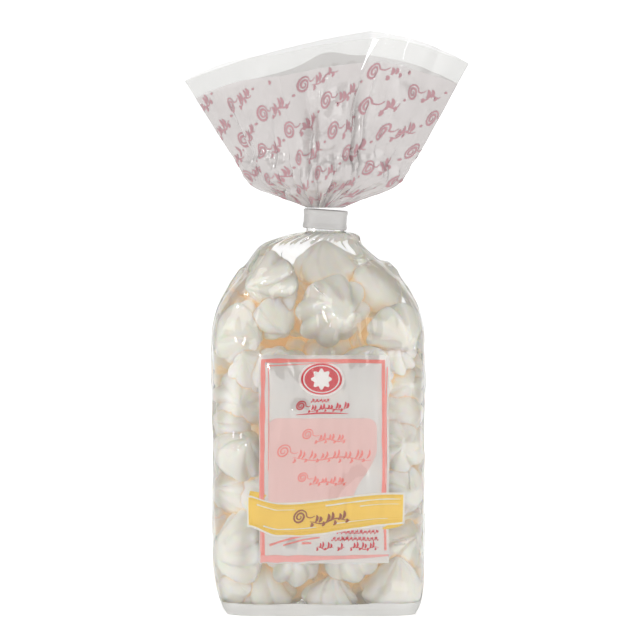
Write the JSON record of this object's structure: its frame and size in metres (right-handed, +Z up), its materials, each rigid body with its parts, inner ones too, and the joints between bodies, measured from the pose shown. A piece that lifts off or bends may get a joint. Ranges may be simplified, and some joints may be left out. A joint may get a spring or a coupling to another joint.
{
  "type": "bag of meringue cookies",
  "caption": "Clear block-bottom film bag of small piped meringues, standing, with a label, a clip round its gathered neck and a flared printed header.",
  "frame": {"origin": "centre of the flat base the bag stands on", "axes": "+Z up along the bag to its open mouth, -Y out of the front with the label, +X to the right seen from the front"},
  "size_m": [0.1274, 0.06, 0.2612],
  "materials": {
    "clear_film": "thin clear glossy polypropylene film",
    "printed_film": "the same film with milky white and pink ink",
    "label_print": "white, pink, red and gold ink printed on film",
    "meringue": "dry matt baked egg-white foam, piped in ridges",
    "clip_band": "silver-grey plastic-coated wire band"
  },
  "bodies": {
    "root": {"bag": "clear_film", "neck_clip": "clip_band"}
  },
  "joints": []
}
